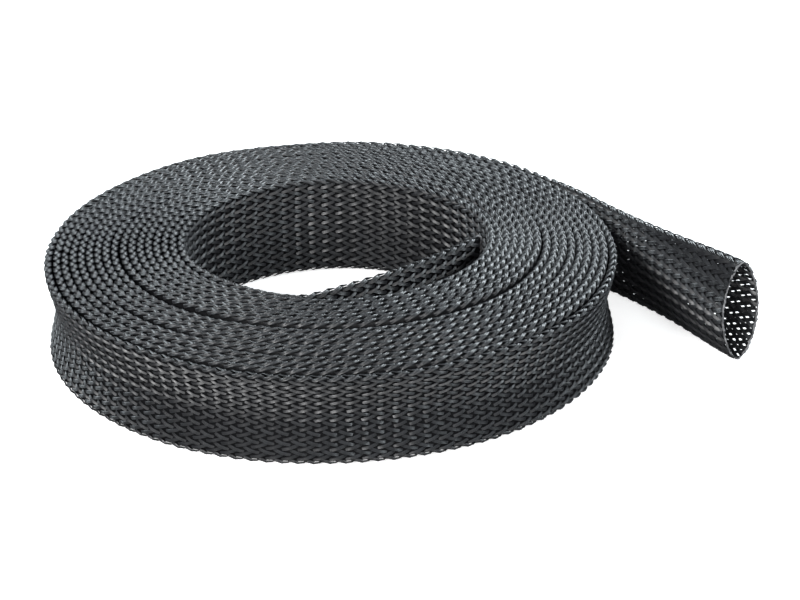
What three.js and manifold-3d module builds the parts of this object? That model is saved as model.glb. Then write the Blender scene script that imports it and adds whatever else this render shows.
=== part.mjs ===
// Braided cable sleeve: a tube of braid pressed flat and wound on edge into a flat coil.
// Millimetres, +Z up. The coil lies on its end on the floor at z = 0, its outer end runs off
// along -Y with the mouth sprung open, and its inner end lies as a short chord across the bore.
import * as THREE from "three";
import { mergeVertices } from "three/addons/utils/BufferGeometryUtils.js";
import Module from "manifold-3d";

const wasm = await Module();
wasm.setup();

// The coil. It runs inwards anticlockwise from bearing 0, where the free outer end leaves it.
const turnCount = 17;
const boreRadius = 29.5; // where the inner end leaves the innermost turn
const turnPitch = 1.672; // one pressed sleeve and the air beside it
const innerTurnHeight = 21.5; // lay-flat width of the sleeve, standing on edge
const outerTurnHeight = 20; // the outermost turns bow outwards and stand lower
const droop = 2; // how much lower still they stand on one side of the coil
const droopAngle = -110; // degrees round the coil's axis, the middle of that side
const droopTurns = 6; // turns that share the droop
const ribCrest = 0.9; // flat top of each turn's rounded fold
const ribDepth = 0.9; // how deep the grooves between the turns show on the coil's ends
const outerWaist = 1.5; // how far the outer wall is drawn in between its two thick folds
const innerWaist = 0.7; // the same on the wall of the bore
const coilFacets = 36;
const wallSteps = 8;

// The pressed sleeve where it leaves the coil
const flatThickness = 1.7; // two layers of braid and the folds that join them
const wallThickness = 0.7; // one layer of braid
const foldRoundness = 0.35; // exponent of the section: low is a flat strip with round edges
const sectionPoints = 24;

// The free outer end
const tailLength = 57.6;
const mouthWidth = 10.4;
const mouthHeight = 20.9;
const mouthRoundness = 1.35; // exponent of the section: high is a lens with narrow tips
const mouthDrift = 0.9; // how far the middle of the mouth lies outside the line of the free end
const flareStart = 8; // the sleeve stays pressed flat this far from the coil
const hollowStart = 14; // the inside is open from here to the mouth
const tailLean = 1.2; // halfway along, the lower fold lies outside and the upper one inside
const tailSteps = 8;

// The free inner end, a chord across the bore
const flapRootAngle = -127.4; // degrees round the coil's axis, where it leaves the innermost turn
const flapTipAngle = -37.6;
const flapSink = 1.2; // how far its root goes into the innermost turn
const flapTipGap = 0.6; // air between its tip and the wall of the bore

const sink = 1; // overlap of two bodies that are joined, and overrun of a body that cuts
const slip = 1e-6; // radians, so that bearing 0 never counts as a full turn

const turnsToRoot = turnCount + 1 + flapRootAngle / 360; // from the outside of the coil to its bore
const coilRadius = boreRadius + turnsToRoot * turnPitch;
const ringBore = coilRadius - turnCount * turnPitch; // where the spiral starts, at bearing 0

function solidFrom(geometry) {
  const bare = geometry.clone();
  bare.deleteAttribute("normal");
  bare.deleteAttribute("uv");
  const merged = mergeVertices(bare, 1e-4);
  return new wasm.Manifold(new wasm.Mesh({
    numProp: 3,
    vertProperties: new Float32Array(merged.attributes.position.array),
    triVerts: new Uint32Array(merged.index.array),
  }));
}

function geometryFrom(solid) {
  const mesh = solid.getMesh();
  const geometry = new THREE.BufferGeometry();
  geometry.setAttribute("position", new THREE.BufferAttribute(mesh.vertProperties, 3));
  geometry.setIndex(new THREE.BufferAttribute(mesh.triVerts, 1));
  geometry.computeVertexNormals();
  return geometry;
}

// Height of a turn's upper fold, by its place from 0 at the bore to 1 at the outside
function turnHeight(place) {
  return THREE.MathUtils.lerp(innerTurnHeight, outerTurnHeight, place ** 2);
}

// One end of the coil: a flat crest for each turn, with a groove on either side of it
function coilEnd(zOfTurn, grooveSign) {
  const points = [];
  const shoulder = (turnPitch - ribCrest) / 2;
  for (let turn = 0; turn < turnCount; turn += 1) {
    const inside = ringBore + turn * turnPitch;
    const z = zOfTurn(turn / (turnCount - 1));
    if (turn > 0) points.push([inside, z + grooveSign * ribDepth]);
    points.push([inside + shoulder, z], [inside + turnPitch - shoulder, z]);
  }
  return points;
}

// A wall of the coil between two heights, drawn in by the waist halfway up
function coilWall(radius, waist, from, to) {
  const points = [];
  for (let step = 0; step <= wallSteps; step += 1) {
    const share = step / wallSteps;
    const drawnIn = waist * Math.sin(Math.PI * share) ** 2;
    points.push([radius + drawnIn, THREE.MathUtils.lerp(from, to, share)]);
  }
  return points;
}

// How much lower than the coil's full height its top stands, at a distance from the axis
function droopAt(angle, radius) {
  const facing = (1 + Math.cos(angle - THREE.MathUtils.degToRad(droopAngle))) / 2;
  const outermost = THREE.MathUtils.smoothstep(radius, coilRadius - droopTurns * turnPitch, coilRadius);
  return droop * facing * outermost;
}

// How much of a turn the spiral has run inwards, at an angle round the axis
function turnShare(angle) {
  return THREE.MathUtils.euclideanModulo(angle + slip, 2 * Math.PI) / (2 * Math.PI);
}

// Winds a ring of turns up into a spiral, one pitch inwards for each turn, and lets its side droop
function windUp(ring) {
  const position = ring.attributes.position;
  for (let i = 0; i < position.count; i += 1) {
    const radius = Math.hypot(position.getX(i), position.getY(i));
    const angle = Math.atan2(position.getY(i), position.getX(i));
    const wound = radius - turnPitch * turnShare(angle);
    const lowered = position.getZ(i) * (1 - droopAt(angle, radius) / outerTurnHeight);
    position.setXYZ(i, wound * Math.cos(angle), wound * Math.sin(angle), lowered);
  }
  return ring;
}

function coilSolid() {
  const foldRise = (turnPitch - ribCrest) / 2; // the fold's corner is as high as its shoulder is wide
  const lower = coilEnd(() => 0, 1);
  const upper = coilEnd(turnHeight, -1).reverse();
  const outer = coilWall(coilRadius, -outerWaist, foldRise, turnHeight(1) - foldRise);
  const inner = coilWall(ringBore, innerWaist, turnHeight(0) - foldRise, foldRise);
  const profile = [...lower, ...outer, ...upper, ...inner, lower[0]];
  const ring = new THREE.LatheGeometry(profile.map(([r, z]) => new THREE.Vector2(r, z)), coilFacets);
  ring.rotateX(Math.PI / 2); // the lathe turns about Y
  return solidFrom(windUp(ring));
}

// A length of sleeve along local +Z: across is local X and the sleeve's height is local Y.
// The section is given by functions of the distance along it: drift and middle place its centre
// across and up, and lean moves its upper fold across, and its lower one the other way.
function sleeveLength({ from, to, steps, halfAcross, halfHeight, drift, lean, middle, roundness }) {
  const circle = [];
  for (let i = 0; i < sectionPoints; i += 1) {
    const angle = (2 * Math.PI * i) / sectionPoints;
    circle.push(new THREE.Vector2(Math.cos(angle), Math.sin(angle)));
  }
  const body = new THREE.ExtrudeGeometry(new THREE.Shape(circle), {
    depth: 1, steps, bevelEnabled: false,
  });
  const position = body.attributes.position;
  for (let i = 0; i < position.count; i += 1) {
    const along = THREE.MathUtils.lerp(from, to, position.getZ(i));
    const cosine = position.getX(i);
    const across = Math.sign(cosine) * Math.abs(cosine) ** roundness(along) * halfAcross(along);
    const sine = position.getY(i);
    const aside = drift(along) + lean(along) * sine;
    position.setXYZ(i, aside + across, middle(along) + sine * halfHeight(along), along);
  }
  return body;
}

// Places a length of sleeve on the floor, from a point and in a direction
function layDown(geometry, start, direction) {
  const up = new THREE.Vector3(0, 0, 1);
  const across = new THREE.Vector3().crossVectors(up, direction);
  const place = new THREE.Matrix4().makeBasis(across, up, direction).setPosition(start);
  return solidFrom(geometry.applyMatrix4(place));
}

// 0 where the sleeve is still pressed flat and 1 at its mouth
function flare(along) {
  return THREE.MathUtils.clamp((along - flareStart) / (tailLength - flareStart), 0, 1);
}

function tailSolid(inset, from, to) {
  const height = (along) => THREE.MathUtils.lerp(turnHeight(1), mouthHeight, flare(along));
  const geometry = sleeveLength({
    from,
    to,
    steps: tailSteps,
    halfAcross: (along) => THREE.MathUtils.lerp(flatThickness, mouthWidth, flare(along)) / 2 - inset,
    halfHeight: (along) => height(along) / 2 - inset,
    drift: (along) => mouthDrift * flare(along),
    lean: (along) => -tailLean * Math.sin(Math.PI * THREE.MathUtils.clamp(along / tailLength, 0, 1)) ** 2,
    middle: (along) => height(along) / 2,
    roundness: (along) => THREE.MathUtils.lerp(foldRoundness, mouthRoundness, flare(along)),
  });
  const start = new THREE.Vector3(coilRadius - flatThickness / 2, 0, 0);
  return layDown(geometry, start, new THREE.Vector3(0, -1, 0));
}

function flapSolid() {
  const root = THREE.MathUtils.degToRad(flapRootAngle);
  const tip = THREE.MathUtils.degToRad(flapTipAngle);
  const bisector = (root + tip) / 2;
  const outward = new THREE.Vector3(Math.cos(bisector), Math.sin(bisector), 0);
  const direction = new THREE.Vector3(-Math.sin(bisector), Math.cos(bisector), 0);
  const offset = boreRadius * Math.cos((tip - root) / 2); // from the coil's axis to the chord
  const outerFace = offset + flatThickness / 2;
  const apothem = (ringBore - turnPitch * turnShare(tip)) * Math.cos(Math.PI / coilFacets);
  const height = turnHeight(0);
  const geometry = sleeveLength({
    from: -Math.sqrt((boreRadius + flapSink) ** 2 - offset ** 2),
    to: Math.sqrt((apothem - flapTipGap) ** 2 - outerFace ** 2),
    steps: 1,
    halfAcross: () => flatThickness / 2,
    halfHeight: () => height / 2,
    drift: () => 0,
    lean: () => 0,
    middle: () => height / 2,
    roundness: () => foldRoundness,
  });
  return layDown(geometry, outward.multiplyScalar(offset), direction);
}

function braidedSleeve() {
  const hollow = tailSolid(wallThickness, hollowStart, tailLength + sink);
  const whole = coilSolid().add(tailSolid(0, -sink, tailLength)).add(flapSolid()).subtract(hollow);
  const geometry = geometryFrom(whole);
  geometry.computeBoundingBox();
  const middle = geometry.boundingBox.getCenter(new THREE.Vector3());
  geometry.translate(-middle.x, -middle.y, -geometry.boundingBox.min.z);
  const plastic = new THREE.MeshStandardMaterial({ color: 0x35373a, roughness: 0.45, metalness: 0 });
  const mesh = new THREE.Mesh(geometry, plastic);
  mesh.name = "braided_sleeve";
  return mesh;
}

const part = new THREE.Group();
part.add(braidedSleeve());

export default part;
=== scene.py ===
import math

import bpy
import numpy as np
from mathutils import Matrix, Vector


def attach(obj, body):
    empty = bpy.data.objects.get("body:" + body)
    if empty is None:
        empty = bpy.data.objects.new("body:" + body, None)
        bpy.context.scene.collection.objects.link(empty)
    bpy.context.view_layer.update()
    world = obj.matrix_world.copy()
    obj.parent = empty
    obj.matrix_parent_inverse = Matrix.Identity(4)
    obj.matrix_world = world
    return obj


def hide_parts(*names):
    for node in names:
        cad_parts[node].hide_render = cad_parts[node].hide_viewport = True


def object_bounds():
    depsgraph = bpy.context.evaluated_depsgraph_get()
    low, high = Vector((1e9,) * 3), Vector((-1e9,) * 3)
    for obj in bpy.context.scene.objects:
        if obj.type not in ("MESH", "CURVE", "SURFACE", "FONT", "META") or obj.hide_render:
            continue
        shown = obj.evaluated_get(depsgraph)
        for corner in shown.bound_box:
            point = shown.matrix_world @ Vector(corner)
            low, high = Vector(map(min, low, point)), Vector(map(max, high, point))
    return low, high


# A flat coil of braided cable sleeve: one long tube of braid, pressed flat and wound on edge.
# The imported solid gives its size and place. Here the tube follows its real spiral, and the bundles
# of filament are laid on it one by one. Metres, +Z up, in the part's own frame.
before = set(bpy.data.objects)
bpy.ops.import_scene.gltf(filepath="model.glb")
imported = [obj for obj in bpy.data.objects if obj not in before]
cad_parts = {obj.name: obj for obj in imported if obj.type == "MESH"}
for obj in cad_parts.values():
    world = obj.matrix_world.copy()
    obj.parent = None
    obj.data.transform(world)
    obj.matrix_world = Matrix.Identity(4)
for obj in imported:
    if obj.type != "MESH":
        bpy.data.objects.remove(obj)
cadLow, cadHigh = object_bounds()
mm = 0.001
coilRadius = 59 * mm       # at bearing 0, where the free end leaves; the coil shrinks anticlockwise
turnPitch = 1.672 * mm
axisX = cadLow.x + coilRadius - turnPitch / 2
axisY = cadHigh.y - coilRadius + turnPitch / 4

# The photo's camera, its directions turned so that the free end runs along -Y
camera = {
    "distance": 440 * mm,      # from the coil's foot
    "elevation": 25.42,
    "pitch": 24.63,            # looks a little above the coil's foot
    "roll": -0.47,
    "sideways": 13.5 * mm,
    "turn": -34.07,            # the photo looks at the coil from its front left
    "focalPixels": 2125,
    "widthPixels": 800,        # of the image that this focal length goes with
    "sensorWidth": 36,
    "clip": (0.01, 20),
}


def addCamera(c):
    turn = Matrix.Rotation(math.radians(c["turn"]), 3, "Z")
    elevation, pitch, roll = (math.radians(c[k]) for k in ("elevation", "pitch", "roll"))
    place = turn @ Vector((c["sideways"], -c["distance"] * math.cos(elevation),
                           c["distance"] * math.sin(elevation)))
    ahead = turn @ Vector((0, math.cos(pitch), -math.sin(pitch)))
    right = turn @ Vector((1, 0, 0))
    up = right.cross(ahead)
    right, up = (right * math.cos(roll) + up * math.sin(roll),
                 up * math.cos(roll) - right * math.sin(roll))
    data = bpy.data.cameras.new("camera")
    data.sensor_width = c["sensorWidth"]
    data.lens = c["focalPixels"] / c["widthPixels"] * c["sensorWidth"]
    data.clip_start, data.clip_end = c["clip"]
    holder = bpy.data.objects.new("camera", data)
    basis = Matrix((right, up, -ahead)).transposed()
    holder.matrix_world = Matrix.Translation(place + Vector((axisX, axisY, 0))) @ basis.to_4x4()
    bpy.context.collection.objects.link(holder)
    bpy.context.scene.camera = holder


addCamera(camera)
print("camera placed")

# The run of the sleeve, from its inner end to its mouth
run = {
    "foldThickness": 1.66 * mm,    # across a rounded fold, and so from turn to turn
    "rootAngle": -127,             # where the inner end leaves the innermost turn
    "chordBearing": -82.5,         # the way the inner end's flat faces
    "chordOffset": 21.7 * mm,      # from the coil's axis to it
    "chordBack": 22.3 * mm,        # to its tip, from the foot of that offset
    "chordAhead": 17.5 * mm,       # to where it starts to bend into the coil
    "chordBend": 130 * mm,         # radius of its slight bow
    "bendTurn": 12,                # degrees of the innermost turn that the bend takes up
    "bendReach": 0.4,              # how far it keeps to its ends' directions, as a share of its span
    "bendPoints": 30,
    "tipPush": 0.8 * mm,           # how far its tip pushes the wall of the bore outwards
    "tipBearing": -37,
    "tipSpread": 0.45,             # radians to either side of the tip that the push reaches
    "tipFade": 50,                 # radians of winding in which it dies away
    "turns": 16,                   # whole turns; the part of a turn from the root comes on top
    "boreRadius": 29.5 * mm,
    "slack": (                     # turns from the inside, gap, step down at the front
        (6.95, 0.3 * mm, 0.9 * mm),
        (14.95, 0.22 * mm, 0.4 * mm),
    ),
    "tailLength": 58.4 * mm,       # along its lower fold
    "pastMouth": 4 * mm,           # the path runs on this far
    "mouthSlant": 1.6 * mm,        # its upper fold is cut this much shorter
    "slantLength": 15 * mm,        # length of sleeve that is drawn back by the slant
    "mouthDrift": 0.9 * mm,        # the mouth lies this far outside the straight line
    "driftEnd": 0.8,               # share of the free end's length in which it drifts aside
    "tailLean": 1.2 * mm,          # halfway along, the lower fold lies outside and the upper one inside
    "mouthLean": 0.55 * mm,        # and the other way round at the mouth
    "leanStart": 0.6,              # share of the free end's length from which that sets in
    "innerHeight": 21.5 * mm,
    "outerHeight": 20.0 * mm,
    "heightCurve": 1.5,            # more than 1 keeps the inner turns tall for longer
    "chordHeight": 21.4 * mm,
    "mouthHeight": 20.7 * mm,
    "frontDroop": 2.0 * mm,        # the outermost turns stand lower where they face the camera
    "frontBearing": -110,
    "droopTurns": (8, 0.5),        # turns from the outside where the droop starts and where it is full
    "outerWaist": 1.5 * mm,        # how far the outer wall is drawn in halfway up
    "innerWaist": 0.6 * mm,
    "waistTurns": (4, 2),          # turns that share the outer waist and the inner one
    "flareStart": 6 * mm,
    "flareEnd": 14 * mm,           # past the mouth, because the sleeve is still opening there
    "topWaver": 0.14 * mm,         # how unevenly the upper folds stand
    "topWaves": (57 * mm, 83 * mm, 131 * mm, 37 * mm),
    "bottomWaver": 0.1 * mm,
    "bottomWaves": (61 * mm, 97 * mm),
    "rootFade": (8 * mm, 4 * mm),  # lengths before and after the root in which droop and waver set in
    "endFade": 10 * mm,            # and to either side of the coil's end, in which they stop
}
stationStep = 0.4 * mm


def smoothStep(x, low, high):
    t = np.clip((x - low) / (high - low), 0, 1)
    return t * t * (3 - 2 * t)


# A smooth random wave of about one unit, from sines of the given lengths
def waves(s, lengths, seed):
    shifts = np.random.default_rng(seed).uniform(0, 2 * np.pi, len(lengths))
    return sum(np.sin(2 * np.pi * s / n + d) for n, d in zip(lengths, shifts)) / len(lengths) ** 0.5


def chordPoints(r):
    bearing = math.radians(r["chordBearing"])
    out = np.array([math.cos(bearing), math.sin(bearing)])
    ahead = np.array([math.sin(bearing), -math.cos(bearing)])
    k = np.arange(-r["chordBack"], r["chordAhead"], stationStep)[:, None]
    middle = (r["chordAhead"] - r["chordBack"]) / 2
    return out * (r["chordOffset"] - (k - middle) ** 2 / (2 * r["chordBend"])) + ahead * k


# Clockwise from the root, and outwards to where the free end leaves at bearing 0
def spiralPoints(r):
    start = math.radians(r["rootAngle"])
    whole = 2 * np.pi * r["turns"] + (start % (2 * np.pi))
    innermost = r["boreRadius"] + r["foldThickness"] / 2
    outermost = coilRadius - r["foldThickness"] / 2
    travelled = np.arange(math.radians(r["bendTurn"]), whole, stationStep / coilRadius)
    radius = innermost + (outermost - innermost) * travelled / whole
    bearing = start - travelled
    for turn, gap, _ in r["slack"]:
        opened = smoothStep(travelled / (2 * np.pi), turn, turn + 1)
        radius = radius + gap * (opened - travelled / whole)
    aside = (bearing - math.radians(r["tipBearing"]) + np.pi) % (2 * np.pi) - np.pi
    fade = np.clip(1 - travelled / r["tipFade"], 0, 1)
    radius = radius + r["tipPush"] * np.exp(-(aside / r["tipSpread"]) ** 2) * fade ** 2
    return np.c_[radius * np.cos(bearing), radius * np.sin(bearing)], travelled, whole


# A smooth bend from the end of points a to the start of points b
def bendPoints(a, b, r):
    goA, goB = a[-1] - a[-2], b[1] - b[0]
    reach = np.linalg.norm(b[0] - a[-1]) * r["bendReach"]
    p1 = a[-1] + goA / np.linalg.norm(goA) * reach
    p2 = b[0] - goB / np.linalg.norm(goB) * reach
    t = np.linspace(0, 1, r["bendPoints"])[1:-1, None]
    return a[-1] * (1 - t) ** 3 + p1 * 3 * t * (1 - t) ** 2 + p2 * 3 * t ** 2 * (1 - t) + b[0] * t ** 3


# Stations along the sleeve: where it runs, which way is outwards and how many turns it has made
def layPath(r):
    chord = chordPoints(r)
    spiral, travelled, whole = spiralPoints(r)
    bend = bendPoints(chord, spiral, r)
    tail = np.array([[coilRadius - r["foldThickness"] / 2, -r["tailLength"] - r["pastMouth"]]])
    points = np.r_[chord, bend, spiral, tail]
    gone = np.r_[0, np.cumsum(np.linalg.norm(np.diff(points, axis=0), axis=1))]
    turned = np.r_[np.zeros(len(chord) + len(bend)), travelled, whole]
    s = np.arange(0, gone[-1], stationStep)
    x, y = (np.interp(s, gone, points[:, i]) for i in (0, 1))
    turned = np.interp(s, gone, turned)
    goX, goY = np.gradient(x, s), np.gradient(y, s)
    size = np.hypot(goX, goY)
    p = {"s": s, "x": x, "y": y, "outX": -goY / size, "outY": goX / size}
    p["rootAt"], p["coilEnd"] = gone[len(chord) + len(bend)], gone[-2]
    p["mouthAt"] = p["coilEnd"] + r["tailLength"]
    p["turnFromInside"] = turned / (2 * np.pi)
    p["turnFromOutside"] = (whole - turned) / (2 * np.pi)
    p["place"] = turned / whole
    before, after = r["rootFade"]
    p["onCoil"] = smoothStep(s, p["rootAt"] - before, p["rootAt"] + after) * smoothStep(
        -s, -p["coilEnd"] - r["endFade"], -p["coilEnd"] + r["endFade"])
    return p


# How high the sleeve's upper and lower fold stand
def raiseFolds(p, r):
    s, place, onCoil = p["s"], p["place"], p["onCoil"]
    bearing = np.arctan2(p["y"], p["x"])
    facing = 0.5 + 0.5 * np.cos(bearing - math.radians(r["frontBearing"]))
    droopStart, droopFull = r["droopTurns"]
    outermost = smoothStep(-p["turnFromOutside"], -droopStart, -droopFull)
    top = r["innerHeight"] + (r["outerHeight"] - r["innerHeight"]) * place ** r["heightCurve"]
    top = top - r["frontDroop"] * facing * outermost * onCoil
    top = top + (r["chordHeight"] - r["innerHeight"]) * (1 - smoothStep(s, 0, p["rootAt"]))
    top = top + (r["mouthHeight"] - r["outerHeight"]) * smoothStep(s, p["coilEnd"], p["mouthAt"])
    top = top + r["topWaver"] * waves(s, r["topWaves"], 3) * onCoil
    for turn, _, drop in r["slack"]:
        top = top - drop * facing * onCoil * (smoothStep(p["turnFromInside"], turn, turn + 1) - place)
    p["top"] = top
    p["bottom"] = r["bottomWaver"] * (1 + waves(s, r["bottomWaves"], 5)) * onCoil


# How far the sleeve's sides are drawn in, and how its free end opens, drifts aside and leans
def shapeSides(p, r):
    outerTurns, innerTurns = r["waistTurns"]
    p["waist"] = (-r["outerWaist"] * smoothStep(-p["turnFromOutside"], -outerTurns, -1)
                  + r["innerWaist"] * smoothStep(-p["turnFromInside"], -innerTurns, -1)) * p["onCoil"]
    opening = p["coilEnd"] + r["flareStart"], p["mouthAt"] + r["flareEnd"]
    p["flare"] = smoothStep(p["s"], *opening) / smoothStep(p["mouthAt"], *opening)
    free = (p["s"] - p["coilEnd"]) / r["tailLength"]
    p["drift"] = r["mouthDrift"] * smoothStep(free, 0, r["driftEnd"])
    p["lean"] = (r["mouthLean"] * smoothStep(free, r["leanStart"], 1)
                 - r["tailLean"] * np.sin(np.pi * np.clip(free, 0, 1)) ** 2)


path = layPath(run)
raiseFolds(path, run)
shapeSides(path, run)
print("path laid:", round(float(path["mouthAt"]), 3), "m of sleeve")

# The section of the sleeve: a flat strip with thick folds, which opens to a lens at the mouth
section = {
    "strandHeight": 0.25 * mm,     # the braid stands this far above its middle surface
    "foldRadius": 0.52 * mm,       # of the middle surface, at the top and bottom folds
    "foldPoints": 30,
    "middleGap": 0.33 * mm,        # from the strip's centre to a layer's middle surface
    "faceCurve": 5,                # high keeps the faces flat until close to the folds
    "facePoints": 121,
    "mouthHalfWidth": 4.65 * mm,
    "mouthRoundness": 1.35,        # 1 is an ellipse, more a lens with narrow tips
}
loopSamples = 720
shareStep = 0.002                  # to either side of a place, to find which way the surface faces


# The outline's points, moved to lie evenly along it, with the first one once more at the end
def evenLoop(x, z):
    x, z = np.r_[x, x[0]], np.r_[z, z[0]]
    gone = np.r_[0, np.cumsum(np.hypot(np.diff(x), np.diff(z)))]
    share = np.linspace(0, 1, loopSamples + 1)
    return np.interp(share * gone[-1], gone, x), np.interp(share * gone[-1], gone, z)


# Clockwise from the middle of the top fold: down the outer face and up the inner one
def pressedLoop(c, halfHeight):
    angle = np.linspace(0, np.pi / 2, c["foldPoints"])
    rise = halfHeight - c["foldRadius"]
    foldX = c["foldRadius"] * np.sin(angle)
    foldZ = rise + c["foldRadius"] * np.cos(angle)
    z = np.linspace(rise, -rise, c["facePoints"])[1:-1]
    x = c["middleGap"] + (c["foldRadius"] - c["middleGap"]) * np.abs(z / rise) ** c["faceCurve"]
    rightX = np.r_[foldX, x, foldX[::-1]]
    rightZ = np.r_[foldZ, z, -foldZ[::-1]]
    return evenLoop(np.r_[rightX, -rightX[::-1][1:-1]], np.r_[rightZ, rightZ[::-1][1:-1]])


def lensLoop(c, halfHeight):
    t = np.linspace(0, 2 * np.pi, loopSamples + 1)[:-1]
    x = np.sign(np.sin(t)) * np.abs(np.sin(t)) ** c["mouthRoundness"] * c["mouthHalfWidth"]
    return evenLoop(x, halfHeight * np.cos(t))


halfStrip = (run["outerHeight"] - 2 * section["strandHeight"]) / 2
pressedX, pressedZ = pressedLoop(section, halfStrip)
lensX, lensZ = lensLoop(section, halfStrip)
loopShare = np.linspace(0, 1, loopSamples + 1)


def onLoop(share, flare):
    share = share % 1
    x = np.interp(share, loopShare, pressedX) * (1 - flare) + np.interp(share, loopShare, lensX) * flare
    z = np.interp(share, loopShare, pressedZ) * (1 - flare) + np.interp(share, loopShare, lensZ) * flare
    return x, z / halfStrip


# Places in the part's frame: s along the sleeve, share round it from the top fold, and lift off
# the braid's middle surface
def onSleeve(s, share, lift):
    fromMouth = smoothStep(s, path["mouthAt"] - run["slantLength"], path["mouthAt"])
    s = s - run["mouthSlant"] * fromMouth * np.cos(np.pi * share) ** 2
    at = {k: np.interp(s, path["s"], path[k])
          for k in ("x", "y", "outX", "outY", "top", "bottom", "waist", "flare", "drift", "lean")}
    x, z = onLoop(share, at["flare"])
    ahead, back = onLoop(share + shareStep, at["flare"]), onLoop(share - shareStep, at["flare"])
    half = (at["top"] - at["bottom"]) / 2 - section["strandHeight"]
    goX, goZ = ahead[0] - back[0], (ahead[1] - back[1]) * half
    size = np.hypot(goX, goZ)
    height = (at["top"] + at["bottom"]) / 2 + z * half
    waist = at["waist"] * np.cos(np.pi / 2 * np.clip(z, -1, 1)) ** 2
    out = x + waist + at["drift"] + at["lean"] * z - lift * goZ / size
    return np.stack([axisX + at["x"] + at["outX"] * out, axisY + at["y"] + at["outY"] * out,
                     height + lift * goX / size], axis=-1)


# The braid: bundles of filament that run over two and under two, as many each way round
braid = {
    "bundles": 40,                 # each way round
    "rowPitch": 1.007 * mm,        # from a bundle to the next, round the sleeve
    "period": 2.93 * mm,           # from a float to the next in its row, along the sleeve
    "filaments": 3,
    "bundleWidth": 0.68 * mm,
    "foldWidth": 0.66 * mm,        # of a bundle where it bends over a fold
    "openWidth": 0.78 * mm,        # and where the sleeve is open, spread wide
    "overlap": 0.62,               # half a float's length, in periods
    "foldOverlap": 0.7,            # the same over a fold
    "ride": 0.21 * mm,             # how high a bundle rides over the ones that it crosses
    "foldRide": 0.19 * mm,         # and over a fold
    "openRide": 0.25 * mm,         # and where the sleeve is open
    "valley": 0.2,                 # height between two filaments, as a share of a filament's
    "scatter": (0.05 * mm, 0.025 * mm, 0.015 * mm),     # of the floats along, round and off the sleeve
}
braidAngle = math.atan(braid["rowPitch"] / braid["period"])
floatLength = math.hypot(braid["rowPitch"], braid["period"])

# A float from end to end, as shares of its half length, its ride and its width. Both its ends dive
# under the bundles that cross it.
floatShapes = {
    "full": ((-1, -1.9, 0.8), (-0.55, 0.35, 1), (0, 1.15, 1), (0.55, 0.35, 1), (1, -1.9, 0.8)),
    "fold": ((-1, -1.9, 0.8), (-0.75, 0.9, 1), (0, 1.15, 1), (0.75, 0.9, 1), (1, -1.9, 0.8)),
    "plain": ((-1, -1.9, 0.8), (-0.45, 0.75, 1), (0.45, 0.75, 1), (1, -1.9, 0.8)),
}


def selectNone():
    if bpy.context.object and bpy.context.object.mode != "OBJECT":
        bpy.ops.object.mode_set(mode="OBJECT")
    bpy.ops.object.select_all(action="DESELECT")


# One bundle where it shows: a section of ridges, extruded and bent over its neighbours. crest holds
# (across, up) points, and stations holds (along, lift, scale) ones.
def modelFloat(name, crest, stations):
    selectNone()
    bpy.ops.mesh.primitive_circle_add(vertices=len(crest), radius=0.1 * mm, fill_type="NGON")
    ob = bpy.context.object
    ob.name = name
    for vertex, (across, up) in zip(ob.data.vertices, crest):
        vertex.co = (stations[0][0], across * stations[0][2], up * stations[0][2] + stations[0][1])
    bpy.ops.object.mode_set(mode="EDIT")
    bpy.ops.mesh.select_all(action="SELECT")
    for (a0, l0, k0), (a1, l1, k1) in zip(stations, stations[1:]):
        bpy.ops.mesh.extrude_region_move(TRANSFORM_OT_translate={"value": (a1 - a0, 0, l1 - l0)})
        bpy.ops.transform.resize(value=(1, k1 / k0, k1 / k0), center_override=(a1, 0, l1))
    bpy.ops.mesh.select_all(action="SELECT")
    bpy.ops.mesh.normals_make_consistent(inside=False)
    bpy.ops.object.mode_set(mode="OBJECT")
    me = ob.data
    co = np.empty(len(me.vertices) * 3, np.float32)
    me.vertices.foreach_get("co", co)
    sizes = np.empty(len(me.polygons), np.int32)
    me.polygons.foreach_get("loop_total", sizes)
    corners = np.empty(len(me.loops), np.int32)
    me.loops.foreach_get("vertex_index", corners)
    bpy.data.objects.remove(ob)
    return {"places": co.reshape(-1, 3).astype(float), "sizes": sizes, "corners": corners}


# Ridge and valley points across a bundle, from left to right
def bundleCrest(width, detail):
    filaments = braid["filaments"]
    ridge = width / filaments / 2
    points = [(-width / 2, 0)]
    for i in range(filaments):
        middle = (i + 0.5) * width / filaments - width / 2
        points.append((middle, ridge))
        if detail and i < filaments - 1:
            points.append((middle + ridge, ridge * braid["valley"]))
    return points + [(width / 2, 0)]


def floatStations(shape, ride, overlap):
    half = floatLength * overlap
    return [(a * half, h * ride, k) for a, h, k in floatShapes[shape]]


fullFloat = modelFloat("float", bundleCrest(braid["bundleWidth"], True),
                       floatStations("full", braid["ride"], braid["overlap"]))
foldFloat = modelFloat("foldFloat", bundleCrest(braid["foldWidth"], True),
                       floatStations("fold", braid["foldRide"], braid["foldOverlap"]))
plainFloat = modelFloat("plainFloat", bundleCrest(braid["foldWidth"], False),
                        floatStations("plain", braid["foldRide"], braid["overlap"]))
print("floats modelled")
smoothAngle = 60                   # degrees; sharper edges stay sharp


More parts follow.
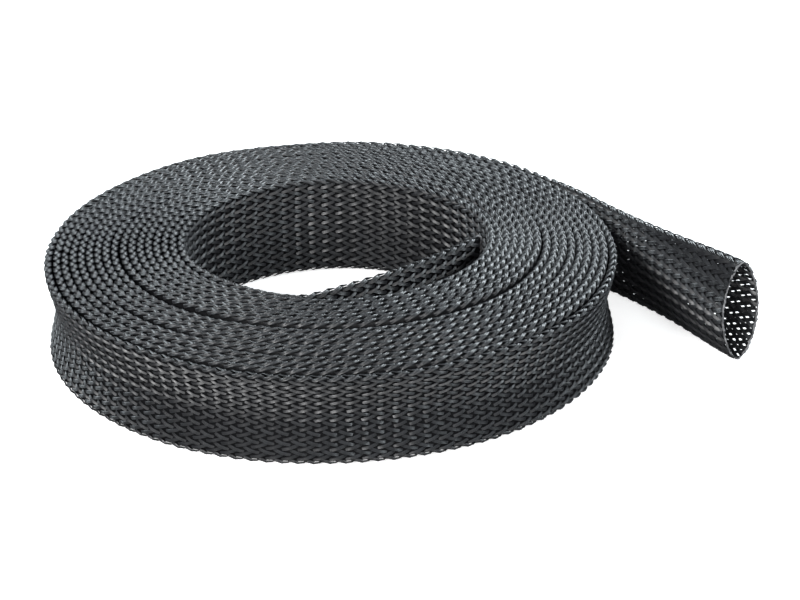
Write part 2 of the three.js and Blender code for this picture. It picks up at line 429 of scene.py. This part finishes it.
def makeMesh(name, places, sizes, corners, material, tone):
    me = bpy.data.meshes.new(name)
    me.vertices.add(len(places))
    me.vertices.foreach_set("co", np.ascontiguousarray(places, np.float32).ravel())
    me.loops.add(len(corners))
    me.loops.foreach_set("vertex_index", corners.astype(np.int32))
    me.polygons.add(len(sizes))
    starts = np.r_[0, np.cumsum(sizes)[:-1]].astype(np.int32)
    me.polygons.foreach_set("loop_start", starts)
    me.update(calc_edges=True)
    me.attributes.new("tone", "FLOAT", "POINT").data.foreach_set("value", tone.astype(np.float32))
    ob = bpy.data.objects.new(name, me)
    bpy.context.collection.objects.link(ob)
    me.materials.append(material)
    selectNone()
    ob.select_set(True)
    bpy.context.view_layer.objects.active = ob
    bpy.ops.object.shade_smooth_by_angle(angle=math.radians(smoothAngle))
    print(name, "has", int((sizes - 2).sum()), "triangles")
    return ob


# Copies of one float, joined. rows holds (row, from, to), with from and to along the sleeve. Less
# than 1 of gather draws the rows towards the fold.
def layFloats(name, shape, rows, material, seed, gather):
    s0, q0, lean = [], [], []
    for row, start, end in rows:
        first = 0.25 if row % 2 == 0 else 0.75       # two rows side by side lie half a period apart
        n = np.arange(math.ceil(start / braid["period"] - first), end / braid["period"] - first)
        s0.append((n + first) * braid["period"])
        q0.append(np.full(len(n), (row + 0.5) * gather))
        lean.append(np.full(len(n), 1.0 if row % 2 == 0 else -1.0))
    s0, q0, lean = (np.concatenate(v)[:, None] for v in (s0, q0, lean))
    rng = np.random.default_rng(seed)
    slide, shift, lift = (rng.normal(0, spread, s0.shape) for spread in braid["scatter"])
    u, v, h = (shape["places"][:, i][None, :] for i in range(3))
    s = s0 + slide + u * math.cos(braidAngle) - lean * v * math.sin(braidAngle)
    around = shift + lean * u * math.sin(braidAngle) + v * math.cos(braidAngle)
    share = (q0 + around / braid["rowPitch"]) / braid["bundles"]
    places = onSleeve(s, share, h + lift)
    count, each = len(s0), len(shape["places"])
    corners = (shape["corners"][None, :] + each * np.arange(count)[:, None]).ravel()
    tone = np.repeat(rng.uniform(0, 1, count), each)
    return makeMesh(name, places.reshape(-1, 3), np.tile(shape["sizes"], count), corners, material, tone)


# The finishes: dark grey plastic under fine dust, a near-black dull finish as painted shade on the layer
# under the bundles, and lighter where it was melted
finish = {
    "darkPlastic": (0.007, 0.0073, 0.0083, 1),
    "lightPlastic": (0.019, 0.02, 0.0225, 1),
    # painted shade: the layer under the bundles is near-black so that the gaps between bundles look
    # shadowed
    "paintedShadeColour": (0.003, 0.003, 0.0035, 1),
    "meltedPlastic": (0.16, 0.16, 0.165, 1),
    "roughness": (0.3, 0.5),       # where the dust is thin and where it is thick
    "shine": 0.5,
    # painted shade: little shine on that layer keeps the gaps dark
    "paintedShadeShine": 0.1,
    "toneShare": 0.6,              # how much the colour follows the bundle's own tone
    "dustShare": 0.5,              # and how much the dust
    "grainScale": 900,
    "grainDetail": 3,
    "bumpStrength": 0.15,
    "bumpDistance": 0.05 * mm,
}


# Shared by the braid's materials: a colour from the bundle's tone and fine dust
def plasticTint(c):
    group = bpy.data.node_groups.new("plasticTint", "ShaderNodeTree")
    for name, kind in (("Dark", "NodeSocketColor"), ("Light", "NodeSocketColor"),
                       ("Tone", "NodeSocketFloat"), ("Grain scale", "NodeSocketFloat")):
        group.interface.new_socket(name, in_out="INPUT", socket_type=kind)
    for name, kind in (("Color", "NodeSocketColor"), ("Roughness", "NodeSocketFloat"),
                       ("Height", "NodeSocketFloat")):
        group.interface.new_socket(name, in_out="OUTPUT", socket_type=kind)
    nodes, links = group.nodes, group.links
    ins, outs = nodes.new("NodeGroupInput"), nodes.new("NodeGroupOutput")
    where = nodes.new("ShaderNodeTexCoord")
    grain = nodes.new("ShaderNodeTexNoise")
    grain.inputs["Detail"].default_value = c["grainDetail"]
    links.new(where.outputs["Object"], grain.inputs["Vector"])
    links.new(ins.outputs["Grain scale"], grain.inputs["Scale"])
    share = nodes.new("ShaderNodeMath")
    share.operation = "MULTIPLY_ADD"
    share.inputs[1].default_value = c["toneShare"]
    links.new(ins.outputs["Tone"], share.inputs[0])
    part = nodes.new("ShaderNodeMath")
    part.operation = "MULTIPLY"
    part.inputs[1].default_value = c["dustShare"]
    links.new(grain.outputs["Fac"], part.inputs[0])
    links.new(part.outputs[0], share.inputs[2])
    tint = nodes.new("ShaderNodeMix")
    tint.data_type = "RGBA"
    links.new(share.outputs[0], tint.inputs["Factor"])
    links.new(ins.outputs["Dark"], tint.inputs["A"])
    links.new(ins.outputs["Light"], tint.inputs["B"])
    links.new(tint.outputs["Result"], outs.inputs["Color"])
    gloss = nodes.new("ShaderNodeMapRange")
    gloss.inputs["To Min"].default_value, gloss.inputs["To Max"].default_value = c["roughness"]
    links.new(grain.outputs["Fac"], gloss.inputs["Value"])
    links.new(gloss.outputs["Result"], outs.inputs["Roughness"])
    links.new(grain.outputs["Fac"], outs.inputs["Height"])
    return group


def plastic(name, group, c, dark, light, shine):
    material = bpy.data.materials.new(name)
    material.use_nodes = True
    nodes, links = material.node_tree.nodes, material.node_tree.links
    shader = nodes["Principled BSDF"]
    shader.inputs["Specular IOR Level"].default_value = c[shine]
    tone = nodes.new("ShaderNodeAttribute")
    tone.attribute_name = "tone"
    tint = nodes.new("ShaderNodeGroup")
    tint.node_tree = group
    tint.inputs["Dark"].default_value = c[dark]
    tint.inputs["Light"].default_value = c[light]
    tint.inputs["Grain scale"].default_value = c["grainScale"]
    links.new(tone.outputs["Fac"], tint.inputs["Tone"])
    links.new(tint.outputs["Color"], shader.inputs["Base Color"])
    links.new(tint.outputs["Roughness"], shader.inputs["Roughness"])
    relief = nodes.new("ShaderNodeBump")
    relief.inputs["Strength"].default_value = c["bumpStrength"]
    relief.inputs["Distance"].default_value = c["bumpDistance"]
    links.new(tint.outputs["Height"], relief.inputs["Height"])
    links.new(relief.outputs["Normal"], shader.inputs["Normal"])
    return material


tintGroup = plasticTint(finish)
bundlePlastic = plastic("bundlePlastic", tintGroup, finish, "darkPlastic", "lightPlastic", "shine")
# painted shade: the layer under the bundles gets a near-black, dull finish that stands in for the
# shadowed depths between them
underShadeMaterial = plastic("underShadeMaterial", tintGroup, finish, "paintedShadeColour", "darkPlastic", "paintedShadeShine")
rimPlastic = plastic("rimPlastic", tintGroup, finish, "lightPlastic", "meltedPlastic", "shine")
print("finishes mixed")


# The faces of a tube made of rings of points: squares between two rings, and a cap at each end
def tubeFaces(ring, rings):
    a = np.arange(ring)
    b = (a + 1) % ring
    start = ring * np.arange(rings - 1)[:, None]
    quads = np.stack([start + a, start + b, start + ring + b, start + ring + a], axis=-1)
    corners = np.r_[quads.ravel(), a[::-1], a + ring * (rings - 1)]
    return corners, np.r_[np.full(ring * (rings - 1), 4), [ring, ring]]


# A closed skin through rings of points: one ring at each s, with the shares round it
def sweep(name, s, shares, lift, material):
    ring, rings = len(shares), len(s)
    places = onSleeve(s * np.ones(ring), shares * np.ones((rings, 1)), lift).reshape(-1, 3)
    corners, sizes = tubeFaces(ring, rings)
    return makeMesh(name, places, sizes, corners, material, np.zeros(len(places)))


# The pressed inside of the sleeve, which closes the gaps between the bundles of the coil; it is coloured
# near-black and dull as painted shade for the shadowed depths between the bundles.
# Between two turns it swells until they touch.
under = {
    "lift": -0.2 * mm,
    "start": 0.6 * mm,
    "step": 2.4 * mm,
    "pastCoil": 12 * mm,
    "swell": 0.62 * mm,
    "hidden": (1.03, 1.08),        # turns from an end of the coil where a face comes to lie hidden
    "hiddenFromRoot": 8 * mm,      # the same for the outer face, from the root
    "face": (0.14, 0.3),           # how far from the folds a face starts to swell and is swollen
}
underShares = np.array([0, 0.012, 0.024, 0.05, 0.25, 0.45, 0.476, 0.488,
                        0.5, 0.512, 0.524, 0.55, 0.75, 0.95, 0.976, 0.988])
underAt = np.arange(under["start"], path["coilEnd"] + under["pastCoil"], under["step"])[:, None]
fromOutside = np.interp(underAt, path["s"], path["turnFromOutside"])
fromInside = np.interp(underAt, path["s"], path["turnFromInside"])
hasOuter = smoothStep(fromOutside, *under["hidden"]) * smoothStep(
    underAt, path["rootAt"], path["rootAt"] + under["hiddenFromRoot"])
hasInner = smoothStep(fromInside, *under["hidden"])
onFace = smoothStep(np.abs(np.sin(2 * np.pi * underShares)), *under["face"])
touching = np.where(underShares < 0.5, hasOuter, hasInner) * onFace
underSleeve = sweep("under_sleeve", underAt, underShares, under["lift"] + under["swell"] * touching,
                    underShadeMaterial)

# The coil's bundles, by where they show
coil = {
    "middleTurn": 11,              # the turn at which the top folds go on as the next piece
    "boreTurns": 1.02,             # turns that show on the wall of the bore
    "tipAt": 0.8 * mm,             # where the bundles start, from the inner end's tip
    "foldGather": 0.86,            # how close together the rows of the top folds lie
}


def atTurn(n):
    return float(np.interp(n, path["turnFromInside"], path["s"]))


half = braid["bundles"] // 2
coilStart, coilEnd = path["rootAt"], path["coilEnd"]
middleTurn, boreEnd = atTurn(coil["middleTurn"]), atTurn(coil["boreTurns"])
lastTurn = float(np.interp(-1, -path["turnFromOutside"], path["s"]))
gather = coil["foldGather"]
layout = (                         # piece, float, rows with their start and end, gather
    ("top_folds_inner", foldFloat, [(row, coilStart, middleTurn) for row in (0, -1)], gather),
    ("top_folds_outer", foldFloat, [(0, middleTurn, lastTurn), (-1, middleTurn, coilEnd)], gather),
    ("bottom_folds", plainFloat, [(row, coilStart, lastTurn) for row in (half - 1, half)], 1),
    ("outer_wall", fullFloat, [(row, lastTurn, coilEnd) for row in range(half + 1)], 1),
    ("bore_wall", fullFloat, [(row, coilStart, boreEnd) for row in range(half + 1, 2 * half - 1)], 1),
    ("inner_end", fullFloat, [(row, coil["tipAt"], coilStart) for row in range(2 * half)], 1),
)
pieces = [underSleeve]
for seed, (name, shape, rows, closeness) in enumerate(layout, 1):
    pieces.append(layFloats(name, shape, rows, bundlePlastic, seed, closeness))

# The open end, where every bundle is laid whole, filament by filament
openEnd = {
    "overCoil": 1.5 * mm,          # it starts this far before the end of the coil
    "rungs": 4,                    # rings of points to a period
    "sides": 4,
    "thickness": 0.5,              # a filament's radius, as a share of the room that it has
    "plateau": 1.4,                # more than 1 keeps a bundle level where it lies on top
    "gatherLength": 12 * mm,       # before the mouth, where a bundle's filaments draw together
    "gatherShare": 0.16,
    "cutSpread": 0.12 * mm,        # how unevenly the bundles are cut off
}


# All the bundles that run one way round the sleeve
def layFilaments(name, lean, start, end, c, material, seed):
    rng = np.random.default_rng(seed)
    period, sides, count, across = braid["period"], c["sides"], braid["bundles"], braid["filaments"]
    rung = np.linspace(start, end, c["rungs"] * round((end - start) / period)) / period
    bundle = np.repeat(np.arange(count), across)[:, None, None]
    offset = np.tile(np.arange(across) - (across - 1) / 2, count)[:, None, None]
    cut = rng.normal(0, c["cutSpread"], (count, 1, 1)).repeat(across, axis=0)
    along = rung[None, :, None] * np.ones_like(bundle)
    crossing = 2 * bundle + 2 * lean * along - 0.5
    ride = lean * braid["openRide"] * np.clip(c["plateau"] * np.cos(np.pi / 2 * crossing), -1, 1)
    turn = 2 * np.pi * np.arange(sides)[None, None, :] / sides
    spacing = braid["openWidth"] / across
    thick = spacing * c["thickness"]
    drawnIn = 1 - c["gatherShare"] * smoothStep(along * period, end - c["gatherLength"], end)
    v = offset * spacing * drawnIn + thick * np.cos(turn)
    q = bundle + lean * along + 0.25
    last = np.zeros(len(rung))
    last[-1] = 1
    s = along * period - lean * v * math.sin(braidAngle) + cut * last[None, :, None]
    share = (q + v * math.cos(braidAngle) / braid["rowPitch"]) / count
    places = onSleeve(s, share, ride + thick * np.sin(turn))
    rings, tubes = len(rung), count * across
    corners, sizes = tubeFaces(sides, rings)
    if lean > 0:  # the rings run the other way round
        corners = np.concatenate([face[::-1] for face in np.split(corners, np.cumsum(sizes)[:-1])])
    corners = (corners[None, :] + rings * sides * np.arange(tubes)[:, None]).ravel()
    tone = np.repeat(np.repeat(rng.uniform(0, 1, count), across), rings * sides)
    return makeMesh(name, places.reshape(-1, 3), np.tile(sizes, tubes), corners, material, tone)


tailStart = coilEnd - openEnd["overCoil"]
for name, lean, seed in (("free_end_right_bundles", 1, 7), ("free_end_left_bundles", -1, 8)):
    pieces.append(layFilaments(name, lean, tailStart, path["mouthAt"], openEnd, bundlePlastic, seed))

# The cut ends are sealed: the filaments are melted together into a thin uneven bead
seal = {
    "innerAt": 0.7 * mm,           # from the inner end's tip
    "radius": 0.2 * mm,
    "points": 320,
    "sides": 8,
    "swell": 0.3,                  # how much its radius varies, as a share
    "swellWaves": (1.01 * mm, 1.9 * mm, 5.04 * mm, 13.4 * mm),
    "wander": 0.12 * mm,           # how far it strays along the sleeve
    "wanderWaves": (0.84 * mm, 2.5 * mm, 8.1 * mm),
    "toneWaves": (3 * mm, 7 * mm),
}


def sealEnd(name, place, c, material, seed):
    points, sides = c["points"], c["sides"]
    share = np.arange(points) / points
    length = share * braid["bundles"] * braid["rowPitch"]
    size = c["radius"] * (1 + c["swell"] * waves(length, c["swellWaves"], seed))
    wander = c["wander"] * waves(length, c["wanderWaves"], seed + 1)
    tone = 0.5 + 0.5 * waves(length, c["toneWaves"], seed + 2)
    angle = 2 * np.pi * np.arange(sides) / sides
    s = place + wander[:, None] + size[:, None] * np.cos(angle)
    places = onSleeve(s, share[:, None] * np.ones_like(s), size[:, None] * np.sin(angle))
    a = np.arange(sides)
    b = (a + 1) % sides
    start = sides * np.arange(points)[:, None]
    ahead = (start + sides) % (points * sides)
    quads = np.stack([start + b, start + a, ahead + a, ahead + b], axis=-1)
    return makeMesh(name, places.reshape(-1, 3), np.full(quads.size // 4, 4), quads.ravel(), material,
                    np.repeat(tone, sides))


pieces.append(sealEnd("sealed_rim", path["mouthAt"], seal, rimPlastic, 21))
pieces.append(sealEnd("sealed_inner_rim", seal["innerAt"], seal, rimPlastic, 31))

for piece in pieces:
    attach(piece, "root")
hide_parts("braided_sleeve")

# Floor and light. The lamps' places are in the photo's directions: right, away from the camera, up
studio = {
    "floorSize": 8,
    "floorGap": 0.05 * mm,         # below the coil's foot
    "floorRoughness": 0.9,
    "floorTone": (0.85, 0.22),     # as the camera sees it, and as it lights the coil
    "floorGlow": (0.65, 0),        # the same for its own light
    "sky": 0.06,
    "cool": (0.86, 0.95, 1.0),     # the light from behind and above is slightly blue
    "plain": (1.0, 1.0, 1.0),
    "lamps": (                     # name, power, size, colour, place
        ("above", 2, 0.6, "cool", (0.0, -0.25, 1.15)),
        ("backRight", 24, 0.6, "cool", (0.6, 1.0, 0.75)),
        ("backLeft", 13, 0.6, "cool", (-0.9, 0.8, 0.65)),
        ("frontRight", 11, 0.7, "plain", (0.5, -1.1, 0.5)),
        ("frontLow", 6, 0.7, "plain", (-0.35, -1.2, 0.35)),
        ("frontLeft", 23, 0.5, "plain", (-0.95, -0.85, 0.75)),
        ("right", 9, 0.4, "cool", (1.1, -0.2, 0.7)),
    ),
}


def addFloor(c):
    selectNone()
    foot = (axisX, axisY, cadLow.z - c["floorGap"])
    bpy.ops.mesh.primitive_plane_add(size=c["floorSize"], location=foot)
    floor = bpy.context.object
    floor.name = "floor"
    material = bpy.data.materials.new("floorPaint")
    material.use_nodes = True
    nodes, links = material.node_tree.nodes, material.node_tree.links
    shader = nodes["Principled BSDF"]
    shader.inputs["Roughness"].default_value = c["floorRoughness"]
    shader.inputs["Emission Color"].default_value = (1, 1, 1, 1)
    rays = nodes.new("ShaderNodeLightPath")
    for socket, key in (("Base Color", "floorTone"), ("Emission Strength", "floorGlow")):
        pick = nodes.new("ShaderNodeMapRange")
        pick.inputs["To Max"].default_value, pick.inputs["To Min"].default_value = c[key]
        links.new(rays.outputs["Is Camera Ray"], pick.inputs["Value"])
        links.new(pick.outputs["Result"], shader.inputs[socket])
    floor.data.materials.append(material)


def addLamp(name, power, size, colour, place):
    data = bpy.data.lights.new(name, "AREA")
    data.energy, data.size, data.color = power, size, colour
    lamp = bpy.data.objects.new(name, data)
    lamp.location = place
    aim = Vector((axisX, axisY, 0)) - place
    lamp.rotation_euler = aim.to_track_quat("-Z", "Y").to_euler()
    bpy.context.collection.objects.link(lamp)


def addStudio(c):
    addFloor(c)
    turn = Matrix.Rotation(math.radians(camera["turn"]), 3, "Z")
    for name, power, size, colour, place in c["lamps"]:
        addLamp(name, power, size, c[colour], turn @ Vector(place))
    world = bpy.data.worlds.new("studioSky")
    world.use_nodes = True
    sky = world.node_tree.nodes["Background"]
    sky.inputs["Color"].default_value = (1, 1, 1, 1)
    sky.inputs["Strength"].default_value = c["sky"]
    bpy.context.scene.world = world
    bpy.context.scene.view_settings.view_transform = "Standard"


addStudio(studio)
print("studio set")
